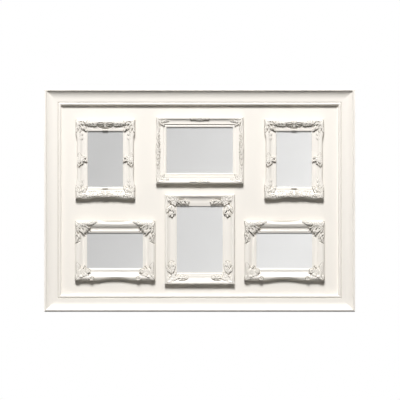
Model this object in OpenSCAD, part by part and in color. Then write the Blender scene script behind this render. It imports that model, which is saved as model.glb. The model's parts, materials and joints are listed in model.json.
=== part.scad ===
// Collage wall frame: a wide scooped moulding round a panel that carries six small cast frames.
// Everything is drawn flat, X right, Y up, Z out of the wall, and stand() turns it upright.

/* [Outer frame] */
// Width over the outer frame
frame_w = 820; // [790:1:900]
// Height over the outer frame
frame_h = 589; // [575:1:660]
// Thickness of the outer moulding, back to lip
rail_t = 35; // [33:0.5:42]
// Width of the rounded lip
lip_w = 5; // [4:0.5:7]
// Radius of the lip's outer edge
lip_r = 3; // [2:0.5:3.5]
// Width of the scoop
scoop_w = 30; // [28:0.5:34]
// Height of the scoop's floor over the panel
scoop_floor = 5.5; // [4.5:0.5:7]
// Width of the quirk beside the bead
quirk_w = 2; // [1.5:0.5:3]
// Depth of the quirk
quirk_d = 2; // [1:0.5:2.5]
// Width of the bead
bead_w = 7; // [6:0.5:8]
// Height of the bead's top over the panel
bead_rise = 7.25; // [6.5:0.25:8]
// Width of the cove at the sight line
cove_w = 3.5; // [3:0.5:4.5]
// Thickness of the moulding's edge over the panel
sight_t = 1.5; // [1:0.5:2]
// Depth of the rebate, back of the moulding to the panel's front
rebate_d = 17; // [15:0.5:20]
// Width of the rebate
rebate_w = 8.5; // [8:0.5:9]

/* [Panel] */
// Thickness of the panel
panel_t = 5; // [4:0.5:6]
// Room between the panel's edge and the rebate wall
panel_clear = 1.5; // [1:0.5:2]
// Room for the turn buttons round each small frame's rebate
cutout_margin = 12; // [11:0.5:13]

/* [Small frames] */
// Thickness of a small frame at its ridge
mini_t = 13.5; // [12.5:0.5:16]
// Print in the four outer frames, long side
small_print_l = 152; // [148:1:156]
// Print in the four outer frames, short side
small_print_s = 102; // [100:1:106]
// Print in the two centre frames, long side
large_print_l = 178; // [176:1:182]
// Print in the two centre frames, short side
large_print_s = 127; // [125:1:129]
// Overlap of the small frames' sight edge on the print, at each end of its long side
small_lap_l = 2.5; // [2:0.5:3.5]
// Overlap on each long edge of the small print
small_lap_s = 4.5; // [3:0.5:5]
// Overlap of the centre frames' sight edge at each end of the print's long side
large_lap_l = 1.5; // [1.5:0.5:2.5]
// Overlap on each long edge of the large print
large_lap_s = 3; // [2:0.5:4]
// Member width of the upper left and right frames
garland_member = 32; // [30:0.5:33]
// Member width of the lower left and right frames
acanthus_member = 32.5; // [31:0.5:34]
// Member width of the upper centre frame
ribbon_member = 27.75; // [27:0.25:29]
// Member width of the lower centre frame
leafy_member = 31.75; // [30:0.25:33]

/* [Layout, as shares of the free room in a row or a column of small frames] */
// Room beside each upper side frame
upper_side_share = 0.1928; // [0.16:0.0001:0.24]
// Room above each upper side frame
upper_top_share = 0.2656; // [0.24:0.0001:0.3]
// Room beside each lower side frame
lower_side_share = 0.28326; // [0.25:0.00001:0.3]
// Room under each lower side frame
lower_foot_share = 0.28; // [0.25:0.01:0.31]
// Room above the upper centre frame
centre_top_share = 0.33987; // [0.31:0.00001:0.36]
// Room under the lower centre frame
centre_foot_share = 0.31076; // [0.29:0.00001:0.34]

/* [Glass and backs] */
// Thickness of the glass
glass_t = 2; // [1.5:0.5:2.5]
// Thickness of the photo insert
photo_t = 0.5; // [0.3:0.1:0.8]
// Thickness of a backboard
backboard_t = 3; // [2.5:0.5:3.5]
// Room round the print in a rebate
print_clear = 0.5; // [0.3:0.1:1]
// Set-back of the backboard behind the small frame's back
button_gap = 0.4; // [0.3:0.1:0.6]

/* [Turn buttons] */
// Width of a turn button
button_w = 8; // [7:0.5:9]
// Reach of a turn button from its pivot
button_reach = 20; // [16:1:22]
// Thickness of a turn button
button_t = 1; // [0.8:0.1:1.2]
// Radius of the pivot screw's shank
pivot_r = 1.2; // [1:0.1:1.4]
// Running clearance of the pivot, on the radius
pivot_clear = 0.1; // [0.05:0.05:0.2]
// Pivot to the edge of the rebate
pivot_inset = 6; // [5.5:0.5:6.5]
// Length of the pivot screw in the small frame
pivot_len = 5; // [4:0.5:6]

/* [Hangers and bumpers] */
// Thickness of the rubber wall bumpers
bumper_t = 6; // [5.5:0.5:8]
// Radius of a wall bumper
bumper_r = 6.5; // [5:0.5:8]
// Height of the D-ring pivots above the middle
hanger_y = 150; // [120:5:180]
// Width of a hanger strap
strap_w = 12; // [11:0.5:13]
// Thickness of a hanger strap
strap_t = 1; // [0.8:0.1:1.2]
// Length of a hanger strap below the D-ring
strap_len = 26; // [25:1:32]
// Radius of the D-ring wire
ring_wire_r = 1.15; // [1:0.05:1.2]
// Radius of the D-ring's bow
ring_r = 9; // [8.5:0.5:10]
// D-ring's bar to the centre of its bow
ring_drop = 4; // [3:0.5:5]

/* [Hidden] */
overrun = 1;
snug = 0.05;
rail_w = lip_w + scoop_w + quirk_w + bead_w + cove_w;
scoop_z = rebate_d + scoop_floor;
scoop_fall = rail_t - scoop_z;
scoop_r = (pow(scoop_w, 2) + pow(scoop_fall, 2)) / (2 * scoop_fall);
bead_r = bead_w / 2;
bead_z = rebate_d + bead_rise - bead_r;
panel_z = bumper_t + rebate_d;
panel_w = frame_w - 2 * (rail_w - rebate_w + panel_clear);
panel_h = frame_h - 2 * (rail_w - rebate_w + panel_clear);
curve_fn = 96;

// Framer's points along the rebate
point_w = 6;
point_len = 16;
point_t = 0.8;
long_point_shares = [-0.3, -0.1, 0.1, 0.3];
short_point_shares = [-0.22, 0.22];

// V-nails across the mitres
nail_leg = 6;
nail_t = 0.6;
nail_h = 10;
nail_shares = [0.28, 0.58];

// Screws
head_share = 2;
head_t_share = 1;
frame_screw_r = 1.5;
frame_screw_len = 12;
frame_screw_inset = 8.5;
pilot_clear = 0.15;
pilot_sides = 6;
button_lift = 0.1;
hub_share = 0.62;
pilot_spare = 0.8;
hanger_screw_r = 1.6;
hanger_screw_len = 14;
hanger_head_r = 3;
hanger_head_t = 1.5;
hanger_u = 18;

// Hanger parts
bar_r = ring_wire_r + 0.1;
loop_in_r = bar_r + pivot_clear;
loop_out_r = loop_in_r + strap_t;
loop_lift = 0.15;
bar_z = loop_out_r + loop_lift;
ring_half_bar = sqrt(pow(ring_r, 2) - pow(ring_drop, 2));
ring_turn = asin(ring_drop / ring_r);
ring_room = 0.5;
near_screw = ring_r + ring_drop - ring_wire_r - hanger_head_r - ring_room;
far_screw = ring_r + ring_drop + ring_wire_r + hanger_head_r + ring_room;
bumper_x_share = 0.4;
bumper_flare_share = 0.85;
bumper_foot_share = 0.6;

// The six places, by number
place_names = [
    "upper_left", "lower_left", "upper_centre", "lower_centre", "upper_right", "lower_right"
];
small_upright = [small_print_s, small_print_l];
small_wide = [small_print_l, small_print_s];
prints = [
    small_upright, small_wide, [large_print_l, large_print_s],
    [large_print_s, large_print_l], small_upright, small_wide
];
small_lap = [small_lap_s, small_lap_l];
laps = [
    small_lap, [small_lap_l, small_lap_s], [large_lap_l, large_lap_s],
    [large_lap_s, large_lap_l], small_lap, [small_lap_l, small_lap_s]
];
members = [
    garland_member, acanthus_member, ribbon_member, leafy_member, garland_member, acanthus_member
];
mini_rebate_d = glass_t + photo_t + backboard_t + button_gap;
function sight(i) = prints[i] - 2 * laps[i];
function outer(i) = sight(i) + 2 * [members[i], members[i]];
opening = [frame_w, frame_h] - 2 * [rail_w, rail_w];
function middle(axis, share, i, others) =
    opening[axis] / 2 - outer(i)[axis] / 2
    - share * (opening[axis] - outer(i)[axis] - others);
upper_side_x = middle(0, upper_side_share, 0, outer(4)[0] + outer(2)[0]);
lower_side_x = middle(0, lower_side_share, 1, outer(5)[0] + outer(3)[0]);
upper_side_y = middle(1, upper_top_share, 0, outer(1)[1]);
lower_side_y = middle(1, lower_foot_share, 1, outer(0)[1]);
upper_centre_y = middle(1, centre_top_share, 2, outer(3)[1]);
lower_centre_y = middle(1, centre_foot_share, 3, outer(2)[1]);
centres = [
    [-upper_side_x, upper_side_y], [-lower_side_x, -lower_side_y],
    [0, upper_centre_y], [0, -lower_centre_y],
    [upper_side_x, upper_side_y], [lower_side_x, -lower_side_y]
];
function pocket(i) = prints[i] + 2 * [print_clear, print_clear];
function cutout(i) = pocket(i) + 2 * [cutout_margin, cutout_margin];
function pivot_x(i) = pocket(i)[0] / 2 + pivot_inset;

// Section of each small frame: share of the member, share of the thickness, bulge to the next point
garland_shares = [
    [0, 0, 0], [0, 0.6, 0.35], [0.1, 0.93, 0.12], [0.42, 0.93, -0.22], [0.74, 0.62, 0],
    [0.755, 0.56, 0], [0.775, 0.56, 0], [0.785, 0.62, 0], [0.97, 0.58, 0], [1, 0.55, 0], [1, 0, 0]
];
acanthus_shares = [
    [0, 0, 0], [0, 0.55, 0.4], [0.12, 0.96, 0.12], [0.31, 0.96, -0.3], [0.58, 0.64, 0],
    [0.585, 0.58, 0], [0.615, 0.58, 0], [0.62, 0.62, 0.75], [0.8, 0.64, -0.2], [0.97, 0.58, 0],
    [1, 0.55, 0], [1, 0, 0]
];
ribbon_shares = [
    [0, 0, 0], [0, 0.62, 0.4], [0.07, 0.96, 0.12], [0.22, 0.96, -0.22], [0.42, 0.66, 0.06],
    [0.68, 0.7, 0], [0.7, 0.54, 0], [0.79, 0.54, 0], [0.81, 0.62, 0.15], [0.99, 0.58, 0],
    [1, 0.55, 0], [1, 0, 0]
];
leafy_shares = [
    [0, 0, 0], [0, 0.62, 0.4], [0.06, 0.97, 0.12], [0.18, 0.97, -0.22], [0.42, 0.68, -0.08],
    [0.69, 0.67, 0], [0.7, 0.6, 0], [0.75, 0.6, 0.85], [0.86, 0.6, 0], [0.92, 0.56, 0],
    [1, 0.55, 0], [1, 0, 0]
];
profiles = [
    garland_shares, acanthus_shares, ribbon_shares, leafy_shares, garland_shares, acanthus_shares
];
slight_bulge = 0.15;
function bulge_steps(b) = b == 0 ? 1 : abs(b) < slight_bulge ? 2 : 3;
function bulged(rows, w, h) = [
    for (i = [0:len(rows) - 2]) let (steps = bulge_steps(rows[i][2])) for (k = [0:steps - 1])
        let (
            p = [rows[i][0] * w, rows[i][1] * h],
            d = [rows[i + 1][0] * w, rows[i + 1][1] * h] - p,
            t = k / steps
        ) p + t * d + 2 * rows[i][2] * t * (1 - t) * [-d[1], d[0]],
    [w, 0]
];

// Carved relief. Half a leaf's outline, root to tip, as shares of its length and of its breadth
leaf_shares = [[-0.5, 0.16], [-0.14, 0.95], [-0.14, 0.42], [0.2, 0.64], [0.2, 0.26]];
leaf_tip_share = 0.5;
leaf_top_share = 0.45;
leaf_rise = 8;
leaf_sunk = 5.6;
relief_over_rebate = 1;
relief_overhang = 1;
leaf_tilt = 8;
rib_end_shares = [-0.4, 0.4];
rib_share = 0.17;
scallop_share = 0.22;
petal_steps = 4;
swell_share = 0.75;
ball_fn = 4;
relief_share = 0.93;
scroll_step = 70;
scroll_shrink_share = 0.82;
curl_turns = 3;

// Relief of the upper left and right frames, in shares of the member
garland_line_share = 0.3;
garland_corner_shares = [1.3, 0.5];
garland_leaf_shares = [1, 0.4];
garland_leaf_start_share = 0.5;
garland_middle_share = 0.45;
shell_share = 0.68;
shell_seat_share = 0.15;
shell_petals = 7;
shell_spread = 176;
garland_curl_shares = [0.26, 0.1];
garland_curl_place_share = 1;
rose_share = 0.32;
rose_petals = 5;
garland_edge_shares = [[0.86, 0], [0.94, 0.05], [1.04, 0.096], [1.54, 0.104], [1.76, 0.125]];
drop_leaf_shares = [1, 0.4];

// Relief of the lower left and right frames
acanthus_line_share = 0.38;
acanthus_corner_shares = [1.4, 0.52];
acanthus_long_shares = [1.6, 0.46];
acanthus_short_shares = [1.1, 0.42];
acanthus_start_share = 0.24;
acanthus_bite = 4.5;
acanthus_chord_share = 0.5;

// Relief of the upper centre frame
ribbon_line_share = 0.36;
ribbon_corner_shares = [1.1, 0.44];
ribbon_fan_share = 0.46;
ribbon_fan_petals = 5;
ribbon_leaf_shares = [0.78, 0.3];

// Relief of the lower centre frame
leafy_line_share = 0.34;
leafy_corner_shares = [1.3, 0.5];
leafy_run_shares = [1, 0.42];
leafy_run_place_shares = [0.3, 1.05];

half_fan = 180;
full_fan = 360;

fixed_nodes = [
    "top_rail", "bottom_rail", "left_rail", "right_rail", "corner_nails", "backing_panel",
    "panel_points", "frame_screws", "turn_button_screws", "left_hanger_strap",
    "right_hanger_strap", "left_d_ring", "right_d_ring", "hanger_screws", "wall_bumpers"
];
place_kinds = ["frame", "glass", "photo", "backboard", "turn_button_1", "turn_button_2"];

module stand() {
    rotate([90, 0, 0]) children();
}

// Moves to the centre of a small frame, on the panel's front
module at(i) {
    translate([centres[i][0], centres[i][1], panel_z]) children();
}

// Repeats at the four corners of a rectangle, each with its X and Y pointing inwards
module at_corners(size) {
    for (mx = [0, 1]) for (my = [0, 1]) mirror([mx, 0, 0]) mirror([0, my, 0])
        translate([-size[0] / 2, -size[1] / 2, 0]) children();
}

module both_ways() {
    children();
    mirror([1, 0, 0]) children();
}

// One length of moulding along the lower side of a rectangle, mitred at both ends
module mitred_rail(length, across, width, height) {
    x = length / 2;
    y = across / 2;
    out = overrun;
    intersection() {
        translate([-x, -y, 0]) rotate([90, 0, 90]) linear_extrude(length) children();
        translate([0, 0, -out]) linear_extrude(height + 2 * out) polygon([
            [-x - out, -y - out], [x + out, -y - out],
            [x - width - out, -y + width + out], [-x + width + out, -y + width + out]
        ]);
    }
}

// Section of the outer moulding: rounded lip, scoop, quirk, bead, cove, and the rebate behind
module rail_section() {
    bead_u = rail_w - cove_w - bead_r;
    cove_z = rebate_d + sight_t + cove_w;
    difference() {
        union() {
            square([lip_w, rail_t - lip_r]);
            translate([lip_r, rail_t - lip_r]) circle(lip_r, $fn = curve_fn);
            difference() {
                translate([lip_r, 0]) square([lip_w + scoop_w - lip_r, rail_t]);
                translate([lip_w + scoop_w, scoop_z + scoop_r]) circle(scoop_r, $fn = 3 * curve_fn);
            }
            translate([lip_w + scoop_w - overrun, 0]) square([quirk_w + 2 * overrun, scoop_z - quirk_d]);
            translate([bead_u - bead_r, 0]) square([bead_w, bead_z]);
            translate([bead_u, bead_z]) circle(bead_r, $fn = curve_fn);
            translate([rail_w - cove_w - overrun, 0]) square([cove_w + overrun, cove_z]);
        }
        translate([rail_w, cove_z]) circle(cove_w, $fn = curve_fn);
        translate([rail_w - rebate_w, -overrun]) square([rebate_w + overrun, rebate_d + overrun]);
    }
}

// The two legs of each V-nail, one in each rail of a mitre
module nail_set(grow) {
    at_corners([frame_w, frame_h]) for (s = nail_shares)
        translate([s * rail_w - grow, s * rail_w - grow, bumper_t - grow])
            linear_extrude(nail_h + 2 * grow) union() {
                square([nail_leg + 2 * grow, nail_t + 2 * grow]);
                square([nail_t + 2 * grow, nail_leg + 2 * grow]);
            }
}

// The framer's points: half of each is in the rail and half lies on the panel's back
module point_set(grow) {
    for (turn = [0, 180]) {
        for (s = long_point_shares) rotate([0, 0, turn]) one_point(s * frame_w, frame_h, grow);
        for (s = short_point_shares) rotate([0, 0, turn + 90]) one_point(s * frame_h, frame_w, grow);
    }
}

module one_point(x, across, grow) {
    start = rail_w - rebate_w - point_len / 2;
    translate([x - point_w / 2 - grow, start - across / 2 - grow, panel_z - panel_t - point_t - grow])
        cube([point_w + 2 * grow, point_len + 2 * grow, point_t + grow]);
}

// One rail, turned from the lower side of the frame to its own
module rail(turn, length, across) {
    color("#F5EFE6") stand() difference() {
        translate([0, 0, bumper_t]) rotate([0, 0, turn])
            mitred_rail(length, across, rail_w, rail_t) rail_section();
        nail_set(snug);
        point_set(snug);
        hanger_shanks(pilot_clear);
    }
}

module top_rail() {
    rail(180, frame_w, frame_h);
}

module bottom_rail() {
    rail(0, frame_w, frame_h);
}

module left_rail() {
    rail(-90, frame_h, frame_w);
}

module right_rail() {
    rail(90, frame_h, frame_w);
}

module corner_nails() {
    color("silver") stand() nail_set(0);
}

module panel_points() {
    color("silver") stand() point_set(0);
}

module backing_panel() {
    color("#F4EEE2") stand() difference() {
        translate([-panel_w / 2, -panel_h / 2, panel_z - panel_t]) cube([panel_w, panel_h, panel_t]);
        for (i = [0:5]) at(i) {
            translate([0, 0, -panel_t - overrun]) linear_extrude(panel_t + 2 * overrun)
                square(cutout(i), center = true);
            frame_screw_spots(i) translate([0, 0, -panel_t - overrun])
                cylinder(h = panel_t + 2 * overrun, r = frame_screw_r + pilot_clear, $fn = 24);
        }
    }
}

module frame_screw_spots(i) {
    spot = outer(i) / 2 - [frame_screw_inset, frame_screw_inset];
    for (sx = [-1, 1]) for (sy = [-1, 1]) translate([sx * spot[0], sy * spot[1], 0]) children();
}

module pivot_spots(i) {
    for (s = [-1, 1]) translate([s * pivot_x(i), 0, 0]) children();
}

// A screw that points up, the underside of its head at zero
module screw(shank_r, length, head_r, head_t) {
    cylinder(h = length, r = shank_r, $fn = 24);
    translate([0, 0, -head_t]) cylinder(h = head_t, r = head_r, $fn = 32);
}

module frame_screws() {
    color("silver") stand() for (i = [0:5]) at(i) frame_screw_spots(i) translate([0, 0, -panel_t])
        screw(frame_screw_r, frame_screw_len, head_share * frame_screw_r, head_t_share * frame_screw_r);
}

module turn_button_screws() {
    under = button_t + 2 * button_lift;
    color("silver") stand() for (i = [0:5]) at(i) pivot_spots(i) translate([0, 0, -under])
        screw(pivot_r, pivot_len + under, head_share * pivot_r, head_t_share * pivot_r);
}

// A turn button on the left or right of a small frame's back, its tab over the backboard
module turn_button(i, side) {
    color("silver") stand() at(i) translate([side * pivot_x(i), 0, -button_lift - button_t])
        linear_extrude(button_t) difference() {
            union() {
                circle(button_w * hub_share, $fn = curve_fn);
                mirror([side > 0 ? 1 : 0, 0]) intersection() {
                    translate([0, -button_w / 2]) square([button_reach, button_w]);
                    circle(button_reach, $fn = 3 * curve_fn);
                }
            }
            circle(pivot_r + pivot_clear, $fn = 48);
        }
}

module sheet(i, size, low, thick) {
    stand() at(i) translate([-size[0] / 2, -size[1] / 2, low]) cube([size[0], size[1], thick]);
}

module glass(i) {
    color("#DDE8EA", 0.4) sheet(i, prints[i], mini_rebate_d - glass_t, glass_t);
}

module photo(i) {
    color("#D0D0D0") sheet(i, prints[i], button_gap + backboard_t, photo_t);
}

module backboard(i) {
    color("#8A6B48") sheet(i, prints[i], button_gap, backboard_t);
}

// A ring with mitred corners. Its section starts at the outer edge's foot and ends at the inner one's
module mitred_ring(size, section) {
    last = len(section) - 1;
    polyhedron(
        [for (p = section) for (k = [0:3]) [
            (k % 3 == 0 ? -1 : 1) * (size[0] / 2 - p[0]), (k < 2 ? -1 : 1) * (size[1] / 2 - p[0]), p[1]
        ]],
        [for (j = [0:last]) for (k = [0:3]) let (a = 4 * j, b = 4 * (j < last ? j + 1 : 0), l = (k + 1) % 4)
            [a + k, b + k, b + l, a + l]]
    );
}

// The plain ring of a small frame, with its rebate
module plain_ring(i) {
    difference() {
        mitred_ring(outer(i), bulged(profiles[i], members[i], mini_t));
        translate([0, 0, -overrun]) linear_extrude(mini_rebate_d + overrun) square(pocket(i), center = true);
    }
}

// A screw's pilot hole, so deep in the back of a small frame
module pilot(r, depth) {
    translate([0, 0, -overrun]) rotate([0, 0, 180 / pilot_sides])
        cylinder(h = depth + pilot_spare + overrun, r = (r + pilot_clear) / cos(180 / pilot_sides),
            $fn = pilot_sides);
}

// A lobed leaf, with or without a rib, its root here and its tip along X
module leaf(size, tilt, ribbed = true) {
    half = [for (p = leaf_shares) [p[0] * size[0], p[1] * size[1]]];
    rotate([0, tilt, 0]) translate([size[0] / 2, 0, 0]) {
        translate([0, 0, -leaf_sunk]) linear_extrude(leaf_rise, scale = leaf_top_share) polygon(concat(
            half, [[leaf_tip_share * size[0], 0]],
            [for (k = [len(half) - 1:-1:0]) [half[k][0], -half[k][1]]]
        ));
        if (ribbed) translate([0, 0, leaf_rise - leaf_sunk]) hull() for (s = rib_end_shares)
            translate([s * size[0], 0, 0]) sphere(r = rib_share * size[1], $fn = ball_fn);
    }
}

// A fan of petals, spread evenly about the X direction
module fan(radius, petals, spread) {
    last = petals * petal_steps;
    points = [
        for (k = [0:last]) if (spread < full_fan || k < last)
            let (a = spread * (k / last - 1 / 2), dip = scallop_share * (1 + cos(360 * k / petal_steps)) / 2)
            radius * (1 - dip) * [cos(a), sin(a)]
    ];
    translate([0, 0, -leaf_sunk]) linear_extrude(leaf_rise, scale = leaf_top_share)
        polygon(spread < full_fan ? concat([[0, 0]], points) : points);
}

// A curl that winds inwards from its tail
module curl(size) {
    function spot(k) = pow(scroll_shrink_share, k) * size[0] * [cos(k * scroll_step), sin(k * scroll_step)];
    for (k = [0:curl_turns - 1]) hull() for (j = [k, k + 1]) translate(spot(j))
        scale([1, 1, swell_share]) sphere(r = size[1] * pow(scroll_shrink_share, j / 2), $fn = ball_fn);
}

// Shell over the top, curls and leaves between it and the corners, a rose at each side
module garland_relief(size, m) {
    line = garland_line_share * m;
    middle_line = garland_middle_share * m;
    start = garland_leaf_start_share * m;
    at_corners(size) {
        translate([line / 2, line / 2, 0]) rotate([0, 0, 45]) leaf(m * garland_corner_shares, leaf_tilt);
        translate([start, line, 0]) leaf(m * garland_leaf_shares, 0, false);
        translate([line, start, 0]) rotate([0, 0, 90]) leaf(m * garland_leaf_shares, 0, false);
    }
    translate([0, size[1] / 2 - shell_seat_share * m, 0]) rotate([0, 0, -90])
        fan(m * shell_share, shell_petals, shell_spread);
    both_ways() translate([garland_curl_place_share * m, size[1] / 2 - middle_line, 0])
        curl(m * garland_curl_shares);
    both_ways() translate([size[0] / 2 - middle_line, 0, 0]) {
        fan(m * rose_share, rose_petals, full_fan);
        rotate([0, 0, -90]) leaf(m * drop_leaf_shares, 0, false);
    }
    both_ways() translate([0, middle_line - size[1] / 2, 0]) leaf(m * drop_leaf_shares, 0, false);
}

// A leaf across each corner and one along each of its sides
module acanthus_relief(size, m) {
    line = acanthus_line_share * m;
    start = acanthus_start_share * m;
    for (up = [0, 1]) mirror([0, up, 0]) both_ways() translate([-size[0] / 2, -size[1] / 2, 0]) {
        translate([start / 2, start / 2, 0]) rotate([0, 0, 45])
            leaf(m * acanthus_corner_shares, leaf_tilt);
        translate([start, line, 0]) leaf(m * acanthus_long_shares, 0);
        translate([line, start, 0]) rotate([0, 0, 90])
            leaf(m * (up == 1 ? acanthus_long_shares : acanthus_short_shares), 0);
    }
}

// A leaf in each corner, a fan between two leaves at the middle of each side
module ribbon_relief(size, m) {
    line = ribbon_line_share * m;
    at_corners(size) translate([line, line, 0]) rotate([0, 0, 45])
        leaf(m * ribbon_corner_shares, leaf_tilt);
    for (k = [0:3]) rotate([0, 0, 90 * k]) translate([0, line - size[(k + 1) % 2] / 2, 0]) {
        rotate([0, 0, 90]) fan(m * ribbon_fan_share, ribbon_fan_petals, half_fan);
        both_ways() leaf(m * ribbon_leaf_shares, 0);
    }
}

// A leaf across each corner and two along each of its sides
module leafy_relief(size, m) {
    line = leafy_line_share * m;
    at_corners(size) {
        translate([line / 2, line / 2, 0]) rotate([0, 0, 45]) leaf(m * leafy_corner_shares, leaf_tilt);
        for (k = [0, 1]) let (s = leafy_run_place_shares[k]) {
            translate([s * m, line, 0]) leaf(m * leafy_run_shares, 0, k == 0);
            translate([line, s * m, 0]) rotate([0, 0, 90]) leaf(m * leafy_run_shares, 0, k == 0);
        }
    }
}

// Outline whose four sides sweep inwards between the corners
module swept_outline(size, bite, chord_share) {
    difference() {
        square(size, center = true);
        if (bite > 0) for (k = [0:3]) {
            chord = chord_share * size[k % 2];
            r = (pow(chord / 2, 2) + pow(bite, 2)) / (2 * bite);
            rotate([0, 0, 90 * k]) translate([0, bite - r - size[(k + 1) % 2] / 2])
                circle(r, $fn = 2 * curve_fn);
        }
    }
}

// Outline whose four sides step inwards between the corners, by a table of place and depth
module stepped_outline(size, m, rows) {
    difference() {
        square(size, center = true);
        for (k = [0:3]) let (half = size[k % 2] / 2, foot = -size[(k + 1) % 2] / 2, last = len(rows) - 1)
            rotate([0, 0, 90 * k]) polygon(concat(
                [[half - rows[0][0] * m, foot - relief_overhang]],
                [for (p = rows) [half - p[0] * m, foot + p[1] * m]],
                [for (j = [last:-1:0]) [rows[j][0] * m - half, foot + rows[j][1] * m]],
                [[rows[0][0] * m - half, foot - relief_overhang]]
            ));
    }
}

// The relief of one small frame, kept off the rebate and out of the window
module relief(i) {
    size = outer(i);
    m = members[i];
    low = mini_rebate_d + relief_over_rebate;
    intersection() {
        translate([0, 0, relief_share * mini_t]) {
            if (i % 4 == 0) garland_relief(size, m);
            if (i % 4 == 1) acanthus_relief(size, m);
            if (i % 4 == 2) ribbon_relief(size, m);
            if (i % 4 == 3) leafy_relief(size, m);
        }
        translate([0, 0, low]) linear_extrude(mini_t) difference() {
            square(size + 2 * [relief_overhang, relief_overhang], center = true);
            square(sight(i), center = true);
        }
    }
}

module small_frame(i) {
    color("#F4EDE0") stand() at(i) difference() {
        union() {
            if (i % 4 < 2) intersection() {
                plain_ring(i);
                translate([0, 0, -overrun]) linear_extrude(mini_t + 2 * overrun) {
                    if (i % 4 == 0) stepped_outline(outer(i), members[i], garland_edge_shares);
                    if (i % 4 == 1) swept_outline(outer(i), acanthus_bite, acanthus_chord_share);
                }
            } else plain_ring(i);
            relief(i);
        }
        frame_screw_spots(i) pilot(frame_screw_r, frame_screw_len - panel_t);
        pivot_spots(i) pilot(pivot_r, pivot_len);
    }
}

// Moves to a hanger's pivot line on the back of a side rail, Z pointing at the wall
module at_hanger(side) {
    translate([side * (frame_w / 2 - hanger_u), hanger_y, bumper_t]) rotate([0, 180, 0]) children();
}

module hanger_shanks(grow) {
    for (side = [-1, 1]) at_hanger(side) for (y = [near_screw, far_screw])
        translate([0, -y, strap_t - hanger_screw_len - grow])
            cylinder(h = hanger_screw_len + grow, r = hanger_screw_r + grow, $fn = 24);
}

module hanger_screws() {
    color("silver") stand() for (side = [-1, 1]) at_hanger(side) for (y = [near_screw, far_screw])
        translate([0, -y, strap_t]) rotate([180, 0, 0])
            screw(hanger_screw_r, hanger_screw_len, hanger_head_r, hanger_head_t);
}

// A strap folded round the D-ring's bar at its upper end
module hanger_strap(side) {
    color("silver") stand() at_hanger(side) difference() {
        union() {
            translate([-strap_w / 2, 0, 0]) rotate([90, 0, 90]) linear_extrude(strap_w) difference() {
                union() {
                    translate([0, bar_z]) circle(loop_out_r, $fn = curve_fn);
                    translate([-near_screw, 0]) square([near_screw, strap_t]);
                }
                translate([0, bar_z]) circle(loop_in_r, $fn = curve_fn);
            }
            translate([0, -near_screw, 0]) linear_extrude(strap_t) {
                translate([-strap_w / 2, near_screw + strap_w / 2 - strap_len])
                    square([strap_w, strap_len - near_screw - strap_w / 2]);
                translate([0, near_screw + strap_w / 2 - strap_len])
                    circle(strap_w / 2, $fn = curve_fn);
            }
        }
        for (y = [near_screw, far_screw]) translate([0, -y, -overrun])
            cylinder(h = strap_t + 2 * overrun, r = hanger_screw_r + pilot_clear, $fn = 32);
    }
}

// A straight bar and a bow of wire, hanging down over the strap
module d_ring(side) {
    color("silver") stand() at_hanger(side) translate([0, 0, bar_z]) {
        rotate([0, 90, 0]) cylinder(h = 2 * (ring_half_bar + ring_wire_r), r = bar_r, center = true, $fn = 48);
        translate([0, -ring_drop, 0]) rotate([0, 0, -180 - ring_turn])
            rotate_extrude(angle = 180 + 2 * ring_turn, $fn = curve_fn)
                translate([ring_r, 0]) circle(ring_wire_r, $fn = 48);
    }
}

module wall_bumpers() {
    foot = bumper_flare_share * bumper_r;
    color("#5A5A5A") stand() for (sx = [-1, 1]) for (sy = [-1, 1])
        translate([sx * bumper_x_share * frame_w, sy * (frame_h / 2 - hanger_u), 0])
            rotate_extrude($fn = curve_fn) polygon([
                [0, 0], [foot, 0], [bumper_r, bumper_foot_share * bumper_t], [bumper_r, bumper_t],
                [0, bumper_t]
            ]);
}

top_rail();
bottom_rail();
left_rail();
right_rail();
corner_nails();
backing_panel();
panel_points();
frame_screws();
turn_button_screws();
hanger_strap(-1);  // left_hanger_strap
hanger_strap(1);  // right_hanger_strap
d_ring(-1);  // left_d_ring
d_ring(1);  // right_d_ring
hanger_screws();
wall_bumpers();
for (i = [0:5]) {
    p = place_names[i];
    small_frame(i);
    glass(i);
    photo(i);
    backboard(i);
    turn_button(i, -1);
    turn_button(i, 1);
}
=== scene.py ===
"""A collage wall frame: painted moulding, six cast frames with glass, prints, backs and fixings."""

import json
import math

import bmesh
import bpy
import numpy as np
from mathutils import Matrix, Vector


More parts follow.
